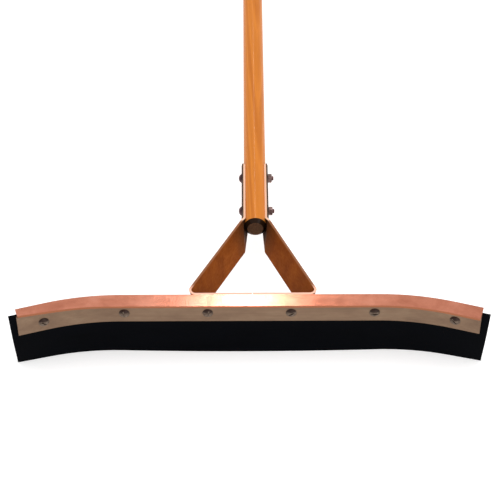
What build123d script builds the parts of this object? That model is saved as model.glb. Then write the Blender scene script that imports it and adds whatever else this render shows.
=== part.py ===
"""Curved floor squeegee: a bent steel angle that clamps a rubber blade, two strap arms and a wood handle.

Frame of the part: +X runs along the blade, +Y runs back along the handle, +Z is up.
The origin is the middle of the blade's lower edge. All sizes are in millimetres.
The pieces are first drawn with Y = 0 on the rear face of the frame wall, and then moved to that origin.
"""
import os
from math import atan2, cos, pi, radians, sin, tan

from build123d import *

# Frame: steel angle with an upright wall and a flange on top, both ends bent forward
frame_length = 610.0
wing_length = 88.0
wing_angle = 17.5
bend_radius = 330.0
plate = 3.2
wall_height = 38.1
flange_depth = 22.0
left_flange_tip = 13.5
right_flange_tip = 22.5
flange_corner = 2.5

# Rubber blade and the strip that clamps it
rubber_thickness = 6.35
rubber_height = 85.7
rubber_overhang = 10.6
rubber_end_lean = 3.2
rubber_clearance = 3.2
strip_thickness = 3.2
strip_height = 31.75
strip_clearance = 1.3
strip_left_inset = -1.0
strip_right_inset = 0.0

# Clamp bolts, counted from the middle out along the frame
bolts_each_side = 3
bolt_end_margin = 33.6
bolt_diameter = 6.35
bolt_drop = 18.3
hole_clearance = 0.4
bolt_head_diameter = 14.3
bolt_head_height = 3.8
slot_width = 1.9
slot_depth = 1.6
nut_across_flats = 11.1
nut_height = 5.5
washer_diameter = 12.7
washer_thickness = 1.6
thread_past_nut = 3.0
thread_clearance = 0.1
washer_split = 1.2
turn_step = 37.0
nut_chamfer_height = 0.8
nut_chamfer_width = 1.4
thread_end_chamfer = 0.6
drill_past = 5.0

# Bracket: two strap arms. Their feet and the handle stand a little to the right of the frame's middle.
foot_offset = 4.0
handle_offset = 9.0
strap_thickness = 3.2
strap_height = 41.3
foot_gap = 1.0
foot_past_bolt = 34.5
fold_radius = 6.0
leg_lean = 13.0
leg_end_top = 149.0
leg_end_bottom_forward = 21.0
leg_end_spread = 1.3
ferrule_start = 166.0
ferrule_end = 290.0
ferrule_wrap_above = 31.0
ferrule_wrap_below = 52.0
ferrule_corner = 6.0
grip_clearance = 0.1

# Handle: a round wood pole
handle_diameter = 31.75
handle_length = 1524.0
handle_start = 152.3
handle_front_chamfer = 4.8
handle_end_rounding = 11.0
handle_bolt_from_front = (38.2, 111.3)
handle_bolt_diameter = 6.35
handle_head_diameter = 13.5
handle_head_height = 4.0
handle_thread_past_nut = 2.5

# Places that follow from the sizes above
flange_underside = rubber_height + rubber_clearance
flange_top = flange_underside + plate
wall_bottom = flange_top - wall_height
strip_front = plate + rubber_thickness + strip_thickness
strip_top = flange_underside - strip_clearance
strip_bottom = strip_top - strip_height
bolt_level = flange_underside - bolt_drop
handle_level = flange_top - wall_height / 2
ferrule_inner = handle_diameter / 2 + grip_clearance
ferrule_outer = ferrule_inner + strap_thickness
bolt_hole_radius = (bolt_diameter + hole_clearance) / 2
middle_half = frame_length / 2 - wing_length * cos(radians(wing_angle))
bend_tangent = bend_radius * tan(radians(wing_angle / 2))
bend_start = middle_half - bend_tangent
bend_end = bend_start + bend_radius * radians(wing_angle)
wall_half_length = bend_end + wing_length - bend_tangent
bolt_pitch = (wall_half_length - bolt_end_margin) / (bolts_each_side - 0.5)
foot_corner = bolt_pitch / 2 + foot_past_bolt
blade_middle = plate + rubber_thickness / 2


def wing_point(side, along, forward):
    """A plan point: `along` from the bend out on the wing's rear line, then `forward` from that line."""
    turn = radians(wing_angle)
    x = middle_half + along * cos(turn) - forward * sin(turn)
    return (side * x, -along * sin(turn) - forward * cos(turn))


def plan_line(forward, left_end, right_end, left_forward=None, right_forward=None):
    """The frame's plan line moved forward. It ends left_end and right_end out along the wings."""
    left_forward = forward if left_forward is None else left_forward
    right_forward = forward if right_forward is None else right_forward
    corner = middle_half - forward * tan(radians(wing_angle / 2))
    points = [
        wing_point(-1, left_end, left_forward),
        (-corner, -forward),
        (corner, -forward),
        wing_point(1, right_end, right_forward),
    ]
    return FilletPolyline(*points, radius=bend_radius - forward)


def plan_band(rear, front, left_end, right_end, left_front=None, right_front=None):
    """The closed plan outline between two plan lines."""
    back_line = plan_line(rear, left_end, right_end)
    front_line = plan_line(front, left_end, right_end, left_front, right_front)
    left_cap = Line(back_line @ 0, front_line @ 0)
    right_cap = Line(back_line @ 1, front_line @ 1)
    return make_face([*back_line.edges(), *front_line.edges(), left_cap, right_cap])


def upright_band(rear, front, left_end, right_end, bottom, top):
    """A bent wall: the plan outline carried from bottom to top."""
    return Pos(0, 0, bottom) * extrude(plan_band(rear, front, left_end, right_end), amount=top - bottom)


def bend_place(side, along):
    """Plan place and turn on the wall's rear face, `along` it from the middle, round the bend."""
    turned = min(max((along - bend_start) / bend_radius, 0.0), radians(wing_angle))
    straight = min(along, bend_start)
    past_bend = max(along - bend_end, 0.0)
    x = straight + bend_radius * sin(turned) + past_bend * cos(turned)
    y = -bend_radius * (1 - cos(turned)) - past_bend * sin(turned)
    return side * x, y, -side * turned * 180 / pi


def bolt_places():
    """Each clamp bolt from left to right: plan place, turn, thickness of the foot there, head's stand-off.

    A flat head on the curved strip rests on its rim, so it stands off by the curve's depth under it.
    """
    curve_depth = (bolt_head_diameter / 2) ** 2 / (2 * (bend_radius - strip_front))
    places = []
    for index in range(-bolts_each_side, bolts_each_side):
        along = (index + 0.5) * bolt_pitch
        side = 1 if along > 0 else -1
        x, y, turn = bend_place(side, abs(along))
        foot = strap_thickness if abs(along) < bolt_pitch else 0.0
        near_bend = bend_start < abs(along) + bolt_head_diameter / 2
        stand_off = curve_depth if near_bend and abs(along) - bolt_head_diameter / 2 < bend_end else 0.0
        places.append((x, y, turn, foot, stand_off))
    return places


def at_bolt(place):
    """Local axes at a clamp bolt: local +Z points rearward, out of the wall."""
    x, y, turn = place[:3]
    return Pos(x, y, bolt_level) * Rot(0, 0, turn) * Rot(-90, 0, 0)


def clamp_holes():
    """The clearance holes, long enough to go through everything that is clamped."""
    reach = strip_front + strap_thickness + 2 * drill_past
    hole = Pos(0, 0, -strip_front - drill_past) * extrude(Circle(bolt_hole_radius), amount=reach)
    return [at_bolt(place) * hole for place in bolt_places()]


def hex_nut(across_flats, height, bore):
    """A hexagon nut with chamfered corners, standing on its face."""
    blank = extrude(RegularPolygon(across_flats / 2, 6, major_radius=False), amount=height)
    corner_radius = across_flats / 2 / cos(radians(30))
    crown = extrude(Circle(corner_radius), amount=height)
    crown = chamfer(crown.edges().group_by(Axis.Z)[-1], nut_chamfer_height, nut_chamfer_width)
    return (blank & crown) - extrude(Circle(bore / 2), amount=height)


def round_head(diameter, height):
    """A domed head that stands on Z = 0 and points up +Z."""
    radius = diameter / 2
    ball = (radius**2 + height**2) / (2 * height)
    dome = Pos(0, 0, height - ball) * Sphere(ball)
    return dome & Pos(0, 0, height / 2) * Cylinder(radius, height)


def make_frame():
    """Wall and flange in one bent angle, with rounded flange corners at the tips."""
    wall = upright_band(0, plate, wing_length, wing_length, wall_bottom, flange_top)
    outline = plan_band(0, flange_depth, wing_length, wing_length, left_flange_tip, right_flange_tip)
    tips = outline.vertices().sort_by(Axis.X)
    front_tips = [tips[:2].sort_by(Axis.Y)[0], tips[-2:].sort_by(Axis.Y)[0]]
    flange = Pos(0, 0, flange_underside) * extrude(fillet(front_tips, flange_corner), amount=plate)
    return wall + flange - clamp_holes()


def make_strip():
    """Clamping strip in front of the rubber."""
    rear = plate + rubber_thickness
    left_end = wing_length - strip_left_inset
    right_end = wing_length - strip_right_inset
    strip = upright_band(rear, strip_front, left_end, right_end, strip_bottom, strip_top)
    return strip - clamp_holes()


def make_rubber():
    """Rubber blade: longer than the frame, with ends that lean in towards the lower edge."""
    end = wing_length + rubber_overhang
    blade = upright_band(plate, plate + rubber_thickness, end, end, 0, rubber_height)
    for side in (-1, 1):
        x, y = wing_point(side, end, plate + rubber_thickness / 2)
        outline = Polyline(
            (side * rubber_end_lean, -1),
            (side * -rubber_end_lean, -1),
            (0, rubber_height),
            (side * rubber_end_lean, rubber_height),
            close=True,
        )
        wedge = extrude(make_face(outline), amount=rubber_thickness, both=True)
        blade -= Pos(x, y, 0) * Rot(0, 0, -side * wing_angle) * Rot(90, 0, 0) * wedge
    return blade - clamp_holes()


def ferrule_point(radius, degrees_up, handle_x, y):
    """A point round the handle's axis, on the -X side of it."""
    turn = radians(degrees_up)
    return Vector(handle_x - radius * cos(turn), y, handle_level + radius * sin(turn))


def ferrule_profile(handle_x):
    """Section of the half ferrule that grips the handle, where it starts."""
    rims = []
    for radius in (ferrule_outer, ferrule_inner):
        heights = (ferrule_wrap_above, 0, -ferrule_wrap_below)
        rims.append([ferrule_point(radius, height, handle_x, ferrule_start) for height in heights])
    outer, inner = rims
    edges = [
        ThreePointArc(*outer),
        Line(outer[2], inner[2]),
        ThreePointArc(inner[2], inner[1], inner[0]),
        Line(inner[0], outer[0]),
    ]
    return make_face(edges)


def strap_plan(leg_end_x):
    """Plan outline of the strap's top edge: the foot, the fold and the leg, with the leg left overlong."""
    splay = atan2(foot_corner + leg_end_x, leg_end_top)
    inset = strap_thickness / tan((radians(90) - splay) / 2)
    along = Vector(sin(splay), cos(splay))
    leg_end = Vector(leg_end_x, leg_end_top) + along * 2 * strap_thickness
    inward = Vector(along.Y, -along.X) * strap_thickness
    outer = FilletPolyline((0, 0), (-foot_corner, 0), leg_end, radius=fold_radius + strap_thickness)
    inner_corner = (-foot_corner + inset, strap_thickness)
    inner = FilletPolyline((0, strap_thickness), inner_corner, leg_end + inward, radius=fold_radius)
    caps = [Line(outer @ 0, inner @ 0), Line(outer @ 1, inner @ 1)]
    return make_face([*outer.edges(), *inner.edges(), *caps])


def make_left_arm(handle_x):
    """Strap arm with its foot on X < 0: a foot on the wall, a leg that leans, and a half ferrule."""
    leg_end_x = handle_x - ferrule_outer - leg_end_spread
    lean = Vector(leg_lean, 0, -strap_height)
    plan = Pos(0, 0, flange_top) * strap_plan(leg_end_x)
    strap = extrude(plan, amount=lean.length, dir=lean)

    left_of_origin = (Align.MAX, Align.CENTER, Align.CENTER)
    foot_side = Box(2 * foot_corner, 4 * leg_end_top, 4 * wall_height, align=left_of_origin)
    strap &= Pos(-foot_gap / 2, 0, flange_top) * foot_side
    end_slope = Vector(0, -leg_end_bottom_forward, -strap_height)
    end_cut = Plane(origin=(leg_end_x, leg_end_top, flange_top), z_dir=Vector(1, 0, 0).cross(end_slope))
    strap = split(strap, bisect_by=end_cut, keep=Keep.BOTTOM)

    leg_end = leg_end_profile(strap, end_cut)
    seat_radius = (handle_diameter + grip_clearance) / 2
    seat_place = Pos(handle_x, ferrule_start, handle_level) * Rot(90, 0, 0)
    handle_seat = seat_place * Cylinder(seat_radius, wall_height)
    twist = loft([leg_end, ferrule_profile(handle_x)], ruled=True) - handle_seat
    ferrule_length = ferrule_end - ferrule_start
    ferrule = extrude(ferrule_profile(handle_x), amount=ferrule_length, dir=(0, 1, 0))
    ferrule = fillet(ferrule.edges().filter_by(on_ferrule_corner), ferrule_corner)
    return strap + twist + ferrule


def leg_end_profile(strap, end_cut):
    """The four-sided end of the leg, with its corners in the order of the ferrule's section."""
    end_face = strap.faces().sort_by(lambda face: abs(end_cut.to_local_coords(face.center()).Z))[0]
    corners = [vertex.center() for vertex in end_face.vertices().sort_by(Axis.Z)]
    lower = sorted(corners[:2], key=lambda corner: corner.X)
    upper = sorted(corners[2:], key=lambda corner: corner.X)
    return make_face(Polyline(upper[0], lower[0], lower[1], upper[1], close=True))


def on_ferrule_corner(edge):
    """True for the short edges through the strap's thickness at the rear end of the ferrule."""
    slack = strap_thickness / 6
    return edge.length < strap_thickness + slack and edge.center().Y > ferrule_end - slack


def make_arms():
    """The left arm and the right arm, drilled for the clamp bolts and the handle bolts."""
    shift = handle_offset - foot_offset
    left = make_left_arm(shift)
    right = make_left_arm(-shift).mirror(Plane.YZ)
    holes = clamp_holes() + handle_holes()
    move = Pos(foot_offset, 0, 0)
    return move * left - holes, move * right - holes


def handle_bolt_axis(from_front):
    """Local axes at a handle bolt: the origin is on the handle's axis and local +Z points along +X."""
    return Pos(handle_offset, handle_start + from_front, handle_level) * Rot(0, 90, 0)


def handle_holes():
    """The two cross holes for the handle bolts."""
    hole = Cylinder((handle_bolt_diameter + hole_clearance) / 2, 4 * ferrule_outer)
    return [handle_bolt_axis(from_front) * hole for from_front in handle_bolt_from_front]


def make_handle():
    """Round pole with a chamfered front end and a rounded far end."""
    pole = Cylinder(handle_diameter / 2, handle_length, align=(Align.CENTER, Align.CENTER, Align.MIN))
    rims = pole.edges().filter_by(GeomType.CIRCLE).sort_by(Axis.Z)
    pole = chamfer(rims[0], handle_front_chamfer)
    far_rim = pole.edges().filter_by(GeomType.CIRCLE).sort_by(Axis.Z)[-1]
    pole = fillet(far_rim, handle_end_rounding)
    return Pos(handle_offset, handle_start, handle_level) * Rot(-90, 0, 0) * pole - handle_holes()


def make_clamp_set(place, slot_turn):
    """Bolt, washer and nut at one clamp bolt place."""
    seat, stand_off = place[3:]
    shank_end = seat + washer_thickness + nut_height + thread_past_nut
    shank = extrude(Circle(bolt_diameter / 2), amount=strip_front + shank_end)
    shank = chamfer(shank.edges().sort_by(Axis.Z)[-1], thread_end_chamfer)
    head = Rot(180, 0, 0) * round_head(bolt_head_diameter, bolt_head_height)
    slot = Box(2 * bolt_head_diameter, slot_width, 2 * slot_depth)
    head -= Pos(0, 0, -bolt_head_height) * Rot(0, 0, slot_turn) * slot
    bolt = Pos(0, 0, -strip_front - stand_off) * (head + shank)
    ring = extrude(Circle(washer_diameter / 2) - Circle(bolt_hole_radius), amount=washer_thickness)
    gap = Pos(washer_diameter / 2, 0, 0) * Box(washer_diameter, washer_split, 4 * washer_thickness)
    washer = Pos(0, 0, seat) * Rot(0, 0, slot_turn) * (ring - gap)
    nut = Pos(0, 0, seat + washer_thickness) * Rot(0, 0, slot_turn)
    nut = nut * hex_nut(nut_across_flats, nut_height, bolt_diameter + thread_clearance)
    return [at_bolt(place) * piece for piece in (bolt, washer, nut)]


def make_handle_set(from_front, nut_turn):
    """Cross bolt with its round head on the left, and its nut on the right."""
    shank_length = 2 * ferrule_outer + nut_height + handle_thread_past_nut
    shank = extrude(Circle(handle_bolt_diameter / 2), amount=shank_length)
    shank = chamfer(shank.edges().sort_by(Axis.Z)[-1], thread_end_chamfer)
    head = Rot(180, 0, 0) * round_head(handle_head_diameter, handle_head_height)
    bolt = Pos(0, 0, -ferrule_outer) * (head + shank)
    nut = Pos(0, 0, ferrule_outer) * Rot(0, 0, nut_turn)
    nut = nut * hex_nut(nut_across_flats, nut_height, handle_bolt_diameter + thread_clearance)
    return [handle_bolt_axis(from_front) * piece for piece in (bolt, nut)]


def make_all():
    """Every piece of the squeegee by its name."""
    left_arm, right_arm = make_arms()
    pieces = {
        "frame_angle": make_frame(),
        "clamp_strip": make_strip(),
        "rubber_blade": make_rubber(),
        "left_arm": left_arm,
        "right_arm": right_arm,
        "handle": make_handle(),
    }
    for number, place in enumerate(bolt_places(), start=1):
        bolt, washer, nut = make_clamp_set(place, slot_turn=number * turn_step)
        pieces[f"clamp_bolt_{number}"] = bolt
        pieces[f"clamp_washer_{number}"] = washer
        pieces[f"clamp_nut_{number}"] = nut
    for number, from_front in enumerate(handle_bolt_from_front, start=1):
        bolt, nut = make_handle_set(from_front, nut_turn=number * turn_step)
        pieces[f"handle_bolt_{number}"] = bolt
        pieces[f"handle_nut_{number}"] = nut
    return pieces


os.makedirs("parts", exist_ok=True)
for name, piece in make_all().items():
    export_step(Pos(0, blade_middle, 0) * piece, f"parts/{name}.step")
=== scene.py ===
import math

import bmesh
import bpy
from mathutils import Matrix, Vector


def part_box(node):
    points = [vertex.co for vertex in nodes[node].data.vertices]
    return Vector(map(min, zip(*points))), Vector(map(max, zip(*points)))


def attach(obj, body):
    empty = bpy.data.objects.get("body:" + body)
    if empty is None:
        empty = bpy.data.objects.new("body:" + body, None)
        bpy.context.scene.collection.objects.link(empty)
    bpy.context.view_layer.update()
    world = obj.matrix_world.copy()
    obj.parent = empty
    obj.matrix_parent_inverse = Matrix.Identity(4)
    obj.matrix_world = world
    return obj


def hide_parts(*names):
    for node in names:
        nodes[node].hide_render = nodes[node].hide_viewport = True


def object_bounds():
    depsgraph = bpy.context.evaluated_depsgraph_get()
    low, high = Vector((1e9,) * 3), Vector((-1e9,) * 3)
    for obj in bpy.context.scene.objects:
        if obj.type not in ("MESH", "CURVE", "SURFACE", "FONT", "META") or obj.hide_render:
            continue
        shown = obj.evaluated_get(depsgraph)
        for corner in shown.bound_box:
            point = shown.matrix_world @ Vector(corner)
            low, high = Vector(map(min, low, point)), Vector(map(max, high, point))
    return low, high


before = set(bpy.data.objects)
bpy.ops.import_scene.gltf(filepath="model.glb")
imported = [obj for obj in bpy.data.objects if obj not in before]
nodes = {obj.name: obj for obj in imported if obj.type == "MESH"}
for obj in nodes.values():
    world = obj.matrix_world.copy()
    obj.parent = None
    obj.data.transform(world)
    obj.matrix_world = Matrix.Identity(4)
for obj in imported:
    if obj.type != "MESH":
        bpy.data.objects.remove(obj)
cad_low, cad_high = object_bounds()

# The camera: angles in degrees, distances in metres, lens in millimetres
CAMERA_ELEVATION = 42.0
CAMERA_AZIMUTH = 0.3
CAMERA_DISTANCE = 2.046
CAMERA_LENS = 108.6
TARGET_BEHIND_FLANGE = 0.0871
TARGET_RIGHT = 0.0012

# How the rubber blade's free edge bends, in metres
BLADE_BOW_MIDDLE = 0.0050
BLADE_LAG_ENDS = 0.0045
BLADE_FLEX_POWER = 1.7
BLADE_CUT_ALONG = 0.010
BLADE_CUT_DOWN = 0.006

# Rounded edges, in metres
FRAME_EDGE = 0.0006
STRIP_EDGE = 0.0005
ARM_EDGE = 0.0005
BLADE_EDGE = 0.0007
FASTENER_EDGE = 0.0002
WASHER_EDGE = 0.00015
SHARP_FROM_DEGREES = 35

# Where a strap's painted highlights and painted shade change, as (from, to) behind the frame's rear face,
# in metres
FOOT_FOLD = (0.010, 0.020)
TWIST_SHADE = (0.112, 0.150)
FERRULE_RIM = (0.146, 0.152)
FERRULE_FACE = (0.160, 0.166)

# Where the painted shade on the handle's front end and chamfer ends, as (from, to) behind its front face,
# in metres
HANDLE_CHAMFER = (0.0048, 0.0054)

# The stage: the floor's size in metres, glow strengths, and the lights' powers in watts
FLOOR_SIZE = 14.0
FLOOR_GLOW = 0.34
WORLD_STRENGTH = 0.75
KEY_POWER = 24.0
FRONT_POWER = 1.0
FILL_POWER = 10.0
FLANGE_LIGHT_POWER = 1.05
POLE_LIGHT_POWER = 6.0


# ---------------------------------------------------------------- materials


class Recipe:
    """A node material with one Principled shader, built up by short calls."""

    def __init__(self, name):
        self.material = bpy.data.materials.new(name)
        self.material.use_nodes = True
        self.tree = self.material.node_tree
        self.shader = self.tree.nodes["Principled BSDF"]
        self.place = self.add("ShaderNodeTexCoord").outputs["Object"]

    def add(self, kind, **settings):
        made = self.tree.nodes.new(kind)
        for key, value in settings.items():
            setattr(made, key, value)
        return made

    def link(self, source, target):
        self.tree.links.new(source, target)

    def set(self, **values):
        """Constants on the shader's own sockets. Underscores stand for spaces."""
        for key, value in values.items():
            self.shader.inputs[key.replace("_", " ")].default_value = value

    def stretched(self, scale, turn=(0, 0, 0)):
        """Object coordinates scaled by axis, so that a texture runs as streaks."""
        mapping = self.add("ShaderNodeMapping")
        mapping.inputs["Scale"].default_value = scale
        mapping.inputs["Rotation"].default_value = [math.radians(a) for a in turn]
        self.link(self.place, mapping.inputs["Vector"])
        return mapping.outputs["Vector"]

    def noise(self, vector, scale, detail=4.0, roughness=0.55, distortion=0.0):
        made = self.add("ShaderNodeTexNoise")
        made.inputs["Scale"].default_value = scale
        made.inputs["Detail"].default_value = detail
        made.inputs["Roughness"].default_value = roughness
        made.inputs["Distortion"].default_value = distortion
        self.link(vector, made.inputs["Vector"])
        return made.outputs["Fac"]

    def ramp(self, factor, *stops):
        """Colours by place: each stop is (position, colour)."""
        made = self.add("ShaderNodeValToRGB")
        band = made.color_ramp
        while len(band.elements) < len(stops):
            band.elements.new(0.5)
        for element, (position, colour) in zip(band.elements, stops):
            element.position = position
            element.color = (*colour, 1.0)
        self.link(factor, made.inputs["Fac"])
        return made.outputs["Color"]

    def span(self, factor, low, high, from_low=0.3, from_high=0.7):
        """A value that goes from low to high as the factor goes over its span."""
        made = self.add("ShaderNodeMapRange", clamp=True)
        made.inputs["From Min"].default_value = from_low
        made.inputs["From Max"].default_value = from_high
        made.inputs["To Min"].default_value = low
        made.inputs["To Max"].default_value = high
        self.link(factor, made.inputs["Value"])
        return made.outputs["Result"]

    def blend(self, factor, first, second):
        """Goes from the first colour to the second as the factor rises. Either may be a socket."""
        made = self.add("ShaderNodeMix", data_type="RGBA")
        self.link(factor, made.inputs["Factor"])
        for socket, value in (("A", first), ("B", second)):
            target = [s for s in made.inputs if s.name == socket and s.type == "RGBA"][0]
            if isinstance(value, tuple):
                target.default_value = (*value, 1.0)
            else:
                self.link(value, target)
        return [s for s in made.outputs if s.type == "RGBA"][0]

    def bump(self, height, strength, distance, under=None):
        made = self.add("ShaderNodeBump")
        made.inputs["Strength"].default_value = strength
        made.inputs["Distance"].default_value = distance
        self.link(height, made.inputs["Height"])
        if under is not None:
            self.link(under, made.inputs["Normal"])
        return made.outputs["Normal"]

    def facing(self, low, high, axis="Z"):
        """A mask that rises as the surface turns towards one object axis."""
        split = self.add("ShaderNodeSeparateXYZ")
        self.link(self.add("ShaderNodeTexCoord").outputs["Normal"], split.inputs["Vector"])
        return self.span(split.outputs[axis], 0.0, 1.0, low, high)

    def behind(self, start, reach):
        """A mask that rises over the (from, to) of reach, in metres behind start, along +Y."""
        split = self.add("ShaderNodeSeparateXYZ")
        self.link(self.place, split.inputs["Vector"])
        return self.span(split.outputs["Y"], 0.0, 1.0, start + reach[0], start + reach[1])

    def finish(self, colour, roughness, normal):
        self.link(colour, self.shader.inputs["Base Color"])
        self.link(roughness, self.shader.inputs["Roughness"])
        self.link(normal, self.shader.inputs["Normal"])
        return self.material


def frame_plating():
    """Copper-coloured plating on rolled steel: clouds, rolling streaks, pits, and painted shade on the
    front faces.
    """
    light, middle, dark = (0.78, 0.320, 0.215), (0.68, 0.255, 0.160), (0.50, 0.165, 0.095)
    painted_shade_front = (0.30, 0.105, 0.050)
    r = Recipe("frame_plating")
    r.set(Metallic=0.9, Specular_IOR_Level=0.5)
    streaks = r.noise(r.stretched((14.0, 900.0, 900.0)), 1.0, detail=3.0)
    clouds = r.noise(r.place, 26.0, detail=5.0, roughness=0.6, distortion=0.4)
    spots = r.noise(r.place, 420.0, detail=2.0, roughness=0.5)
    tone = r.ramp(clouds, (0.30, dark), (0.52, middle), (0.72, light))
    streaked = r.blend(r.span(streaks, 0.0, 0.16), tone, dark)
    spotted = r.blend(r.span(spots, 0.0, 0.35, 0.66, 0.78), streaked, dark)
    # Painted shade: faces turned to the front go darker, standing in for the shadow line under the flange.
    colour = r.blend(r.facing(-0.55, -0.80, "Y"), spotted, painted_shade_front)
    roughness = r.span(streaks, 0.13, 0.22)
    fine = r.bump(streaks, 0.12, 0.0002)
    return r.finish(colour, roughness, r.bump(spots, 0.10, 0.0003, fine))


def bracket_steel():
    """Bronze plating on a strap, with painted highlights and painted shade on its tops, twist and ferrule
    faces.
    """
    # The strap tones are partly the plating's own colour, partly painted shade on the legs' faces.
    light, middle, dark = (0.42, 0.115, 0.014), (0.32, 0.080, 0.009), (0.22, 0.050, 0.006)
    streak, spot = (0.13, 0.030, 0.006), (0.10, 0.024, 0.006)
    # Painted shade: dark brown where the strap twists beside the handle, and on the ferrule's faces.
    painted_shade_twist, ferrule = (0.055, 0.022, 0.010), (0.085, 0.045, 0.026)
    # Colours for the upward-facing tops: painted highlights at the foot and the ferrule's rims, painted
    # shade on the leg tops.
    painted_highlight_foot_top, painted_shade_leg_top, painted_highlight_ferrule_top = (0.88, 0.50, 0.37), (0.26, 0.105, 0.050), (0.90, 0.62, 0.46)
    r = Recipe("bracket_plating")
    r.set(Metallic=0.30, Specular_IOR_Level=0.02)
    streaks = r.noise(r.stretched((500.0, 16.0, 500.0)), 1.0, detail=3.0)
    clouds = r.noise(r.place, 22.0, detail=5.0, roughness=0.6, distortion=0.5)
    spots = r.noise(r.place, 380.0, detail=2.0)
    tone = r.ramp(clouds, (0.30, dark), (0.52, middle), (0.74, light))
    streaked = r.blend(r.span(streaks, 0.0, 0.3), tone, streak)
    spotted = r.blend(r.span(spots, 0.0, 0.4, 0.66, 0.78), streaked, spot)
    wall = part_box("frame_angle")[1][1]
    # Painted shade laid over the twist, then over the ferrule's faces, by distance behind the frame.
    shaded_twist_face = r.blend(r.behind(wall, TWIST_SHADE), spotted, painted_shade_twist)
    face = r.blend(r.behind(wall, FERRULE_FACE), shaded_twist_face, ferrule)
    # Painted light on the tops: highlight at the foot fold, shade along the legs, highlight on the
    # ferrule's rims.
    lit_foot_shaded_leg_top = r.blend(r.behind(wall, FOOT_FOLD), painted_highlight_foot_top, painted_shade_leg_top)
    edge = r.blend(r.behind(wall, FERRULE_RIM), lit_foot_shaded_leg_top, painted_highlight_ferrule_top)
    colour = r.blend(r.facing(0.70, 0.80), face, edge)
    roughness = r.span(streaks, 0.52, 0.74)
    return r.finish(colour, roughness, r.bump(spots, 0.10, 0.0003, r.bump(streaks, 0.12, 0.0002)))


def dull_steel(name, light, dark):
    """Plain bolts, nuts and washers: a dull, blotchy zinc skin."""
    r = Recipe(name)
    r.set(Metallic=0.85)
    blotches = r.noise(r.place, 240.0, detail=4.0)
    grit = r.noise(r.place, 1500.0, detail=2.0)
    colour = r.ramp(blotches, (0.32, dark), (0.68, light))
    roughness = r.span(blotches, 0.6, 0.38)
    return r.finish(colour, roughness, r.bump(grit, 0.18, 0.0002))


def clamp_bolt_steel():
    """Plain slotted bolts: painted shade on the upward-facing part of the head, bare steel below."""
    r = Recipe("clamp_bolt_plating")
    r.set(Metallic=0.6)
    blotches = r.noise(r.place, 300.0, detail=4.0)
    grit = r.noise(r.place, 1500.0, detail=2.0)
    bare = r.ramp(blotches, (0.32, (0.085, 0.055, 0.038)), (0.68, (0.20, 0.145, 0.105)))
    # Painted shade: the upward-facing part of each head is near black, standing in for the shadow arc at
    # its top.
    colour = r.blend(r.facing(0.14, 0.40), bare, (0.030, 0.014, 0.009))
    roughness = r.span(blotches, 0.62, 0.42)
    return r.finish(colour, roughness, r.bump(grit, 0.18, 0.0002))


def strip_steel():
    """Rolled mill steel of the clamping strip, with grey-brown oxide."""
    r = Recipe("strip_steel_mat")
    r.set(Metallic=0.7)
    streaks = r.noise(r.stretched((10.0, 700.0, 700.0)), 1.0, detail=4.0)
    clouds = r.noise(r.stretched((14.0, 40.0, 40.0)), 1.0, detail=5.0, roughness=0.65)
    pits = r.noise(r.place, 650.0, detail=2.0)
    light, middle, dark = (0.300, 0.205, 0.130), (0.225, 0.140, 0.086), (0.140, 0.080, 0.048)
    tone = r.ramp(clouds, (0.28, dark), (0.55, middle), (0.78, light))
    colour = r.blend(r.span(streaks, 0.0, 0.25), tone, (0.10, 0.065, 0.045))
    roughness = r.span(clouds, 0.36, 0.58)
    return r.finish(colour, roughness, r.bump(pits, 0.15, 0.0003, r.bump(streaks, 0.15, 0.0002)))


def blade_rubber():
    """Black moulded rubber with a soft bloom, faint moulding lines and small scuffs."""
    r = Recipe("blade_rubber_mat")
    r.set(IOR=1.5, Specular_IOR_Level=0.02)
    bloom = r.noise(r.stretched((18.0, 60.0, 45.0)), 1.0, detail=5.0, roughness=0.6)
    skin = r.noise(r.place, 1400.0, detail=2.0)
    scuffs = r.noise(r.stretched((30.0, 400.0, 520.0)), 1.0, detail=3.0)
    colour = r.ramp(bloom, (0.30, (0.0004, 0.0006, 0.0012)), (0.75, (0.0013, 0.0016, 0.0027)))
    roughness = r.span(bloom, 0.42, 0.62)
    return r.finish(colour, roughness, r.bump(skin, 0.10, 0.0002, r.bump(scuffs, 0.08, 0.0003)))


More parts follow.
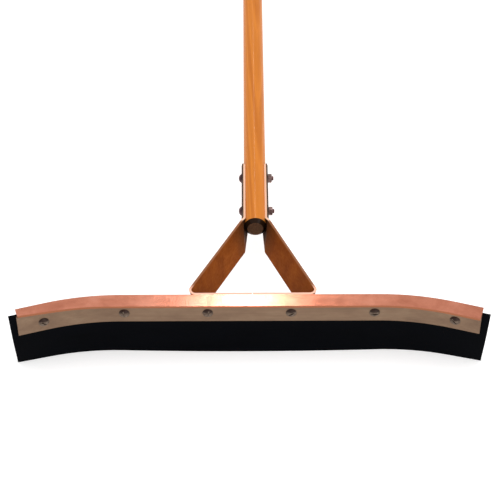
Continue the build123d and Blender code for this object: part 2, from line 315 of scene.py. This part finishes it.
def handle_wood():
    """Lacquered pole: rings and fibres along +Y, painted shade on the front chamfer and, partly, on the end
    grain.
    """
    r = Recipe("handle_wood_mat")
    r.set(Coat_Weight=0.22, Coat_Roughness=0.14, Coat_IOR=1.38, Specular_IOR_Level=0.02)
    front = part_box("handle")[0][1]
    wander = r.noise(r.stretched((30.0, 2.2, 30.0)), 1.0, detail=3.0)
    rings = r.add("ShaderNodeTexWave", wave_type="BANDS", bands_direction="DIAGONAL")
    rings.inputs["Scale"].default_value = 60.0
    rings.inputs["Distortion"].default_value = 5.0
    rings.inputs["Detail"].default_value = 3.0
    rings.inputs["Detail Scale"].default_value = 0.6
    r.link(r.stretched((1.0, 0.035, 1.0), (0, 24, 0)), rings.inputs["Vector"])
    fibres = r.noise(r.stretched((900.0, 14.0, 900.0)), 1.0, detail=4.0, roughness=0.6)
    pores = r.noise(r.stretched((1700.0, 60.0, 1700.0)), 1.0, detail=2.0)
    ring, spring_wood, late_wood = (0.50, 0.145, 0.016), (0.66, 0.215, 0.028), (0.57, 0.178, 0.021)
    base = r.ramp(rings.outputs["Fac"], (0.0, ring), (0.45, spring_wood), (1.0, late_wood))
    washed = r.blend(r.span(wander, 0.0, 0.5), base, (0.70, 0.245, 0.038))
    fibred = r.blend(r.span(fibres, 0.0, 0.32), washed, (0.40, 0.110, 0.022))
    pored = r.blend(r.span(pores, 0.0, 0.30, 0.60, 0.72), fibred, (0.28, 0.080, 0.018))
    end_grain = r.noise(r.stretched((420.0, 420.0, 420.0)), 1.0, detail=3.0)
    # The end grain's dark tone is partly its own colour, partly painted shade on the front end.
    end_tone = r.ramp(end_grain, (0.30, (0.060, 0.024, 0.009)), (0.70, (0.115, 0.050, 0.019)))
    # Painted shade: the chamfer round the front end turns near black.
    shaded_end_tone = r.blend(r.facing(-0.97, -0.85, "Y"), end_tone, (0.018, 0.008, 0.004))
    colour = r.blend(r.behind(front, HANDLE_CHAMFER), shaded_end_tone, pored)
    roughness = r.span(fibres, 0.30, 0.44)
    return r.finish(colour, roughness, r.bump(fibres, 0.12, 0.0002))


def dress(node, material, edge=0.0):
    """Gives a CAD node its material, and rounds its sharp edges by `edge` metres."""
    piece = nodes[node]
    piece.data.materials.clear()
    piece.data.materials.append(material)
    if edge:
        round_edges(piece, edge)


def round_edges(piece, width):
    """Rounds the sharp edges of a piece by a width in metres."""
    bevel = piece.modifiers.new("edge", "BEVEL")
    bevel.width = width
    bevel.segments = 2
    bevel.limit_method = "ANGLE"
    bevel.angle_limit = math.radians(SHARP_FROM_DEGREES)


def dress_all():
    """Every CAD node gets its material, and the rubber blade its bent copy."""
    bronze = bracket_steel()
    bolt = clamp_bolt_steel()
    nut = dull_steel("nut_plating", (0.26, 0.17, 0.15), (0.09, 0.05, 0.05))
    washer = dull_steel("washer_plating", (0.36, 0.30, 0.26), (0.15, 0.11, 0.09))
    dark_bolt = dull_steel("handle_bolt_plating", (0.16, 0.08, 0.08), (0.05, 0.025, 0.03))
    dress("frame_angle", frame_plating(), FRAME_EDGE)
    dress("clamp_strip", strip_steel(), STRIP_EDGE)
    make_flexed_blade(blade_rubber())
    dress("left_arm", bronze, ARM_EDGE)
    dress("right_arm", bronze, ARM_EDGE)
    dress("handle", handle_wood())
    for name in nodes:
        if name.startswith("clamp_bolt"):
            dress(name, bolt, FASTENER_EDGE)
        elif name.startswith("clamp_washer"):
            dress(name, washer, WASHER_EDGE)
        elif name.startswith("handle_bolt"):
            dress(name, dark_bolt, FASTENER_EDGE)
        elif "_nut_" in name:
            dress(name, nut, FASTENER_EDGE)


# ---------------------------------------------------------------- flexed blade


def cut_across(mesh, axis, low, high, step):
    """Divides a mesh by planes square to one axis, so that it can bend smoothly."""
    normal = Vector((axis == "X", 0.0, axis == "Z"))
    place = low + step
    while place < high:
        geometry = mesh.verts[:] + mesh.edges[:] + mesh.faces[:]
        bmesh.ops.bisect_plane(mesh, geom=geometry, dist=1e-6, plane_co=normal * place, plane_no=normal)
        place += step


def make_flexed_blade(material):
    """The rubber blade as it rests: its free edge bows forward in the middle and lags at the ends."""
    source = nodes["rubber_blade"]
    mesh = bmesh.new()
    mesh.from_mesh(source.data)
    low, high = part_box("rubber_blade")
    free_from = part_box("clamp_strip")[0][2]
    cut_across(mesh, "X", low[0], high[0], BLADE_CUT_ALONG)
    cut_across(mesh, "Z", low[2], free_from, BLADE_CUT_DOWN)
    half = (high[0] - low[0]) / 2
    for vertex in mesh.verts:
        hang = max(0.0, (free_from - vertex.co.z) / (free_from - low[2]))
        reach = vertex.co.x / half
        bow = BLADE_BOW_MIDDLE - (BLADE_BOW_MIDDLE + BLADE_LAG_ENDS) * reach * reach
        vertex.co.y -= bow * hang**BLADE_FLEX_POWER
    data = bpy.data.meshes.new("flexed_blade")
    mesh.to_mesh(data)
    mesh.free()
    piece = bpy.data.objects.new("flexed_blade", data)
    bpy.context.scene.collection.objects.link(piece)
    piece.data.materials.append(material)
    round_edges(piece, BLADE_EDGE)
    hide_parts("rubber_blade")
    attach(piece, "root")


# ---------------------------------------------------------------- stage


def aim(thing, target):
    """Turns a light or camera towards a point."""
    thing.rotation_euler = (Vector(target) - thing.location).to_track_quat("-Z", "Y").to_euler()


def make_floor():
    """Plain pale floor under the blade's lower edge."""
    middle = (cad_low.y + cad_high.y) / 2
    bpy.ops.mesh.primitive_plane_add(size=FLOOR_SIZE, location=(0.0, middle, cad_low.z))
    floor = bpy.context.object
    floor.name = "floor"
    r = Recipe("floor_pale")
    shade = r.noise(r.place, 1.5, detail=2.0)
    colour = r.ramp(shade, (0.0, (0.86, 0.86, 0.86)), (1.0, (0.90, 0.90, 0.90)))
    r.link(colour, r.shader.inputs["Base Color"])
    r.set(Roughness=0.9, Specular_IOR_Level=0.1)
    r.set(Emission_Color=(1.0, 1.0, 1.0, 1.0), Emission_Strength=FLOOR_GLOW)
    floor.data.materials.append(r.material)


def make_world():
    """Even pale studio air, which metal reflects."""
    world = bpy.data.worlds.new("studio_air")
    bpy.context.scene.world = world
    world.use_nodes = True
    background = world.node_tree.nodes["Background"]
    background.inputs["Color"].default_value = (1.0, 1.0, 1.0, 1.0)
    background.inputs["Strength"].default_value = WORLD_STRENGTH


def soft_light(name, place, target, size, power, colour=(1.0, 1.0, 1.0)):
    """A rectangular area light that points at a target."""
    light = bpy.data.lights.new(name, "AREA")
    light.shape = "RECTANGLE"
    light.size, light.size_y = size
    light.energy = power
    light.color = colour
    thing = bpy.data.objects.new(name, light)
    bpy.context.scene.collection.objects.link(thing)
    thing.location = place
    aim(thing, target)


def make_lights():
    """Soft light from above, two weaker fills, and narrow lights that the steel and the handle mirror."""
    low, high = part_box("frame_angle")
    head = (Vector(low) + Vector(high)) / 2
    handle_low, handle_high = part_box("handle")
    handle_x = (handle_low[0] + handle_high[0]) / 2
    soft_light("key", head + Vector((0.0, 0.3, 2.2)), head, (2.6, 2.2), KEY_POWER)
    soft_light("front", head + Vector((0.5, -1.9, 1.2)), head, (1.8, 1.2), FRONT_POWER)
    soft_light("fill", head + Vector((0.95, -1.5, 0.9)), head, (1.2, 1.2), FILL_POWER)
    mirrored = Vector((-0.036, high[1] + 1.43, high[2] + 1.37))
    flange_middle = Vector((-0.010, high[1], high[2]))
    soft_light("flange_light", mirrored, flange_middle, (0.075, 0.5), FLANGE_LIGHT_POWER, (0.66, 0.78, 1.0))
    pole_light_place = Vector((handle_x, handle_low[1] + 2.0, handle_high[2] + 1.7))
    pole_front = Vector((handle_x, handle_low[1] + 0.25, handle_high[2]))
    soft_light("pole_light", pole_light_place, pole_front, (0.12, 1.2), POLE_LIGHT_POWER, (1.0, 0.92, 0.84))


def make_camera():
    """The camera looks down at the squeegee from the front."""
    flange_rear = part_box("frame_angle")[1]
    target = Vector((TARGET_RIGHT, flange_rear[1] + TARGET_BEHIND_FLANGE, flange_rear[2]))
    elevation, azimuth = math.radians(CAMERA_ELEVATION), math.radians(CAMERA_AZIMUTH)
    back = Vector(
        (
            -math.sin(azimuth) * math.cos(elevation),
            -math.cos(azimuth) * math.cos(elevation),
            math.sin(elevation),
        )
    )
    camera = bpy.data.cameras.new("camera")
    camera.lens = CAMERA_LENS
    camera.sensor_width = 36.0
    camera.clip_start, camera.clip_end = 0.05, 50.0
    thing = bpy.data.objects.new("camera", camera)
    bpy.context.scene.collection.objects.link(thing)
    thing.location = target + back * CAMERA_DISTANCE
    aim(thing, target)
    bpy.context.scene.camera = thing


dress_all()
make_floor()
make_world()
make_lights()
make_camera()
bpy.context.scene.view_settings.view_transform = "Standard"
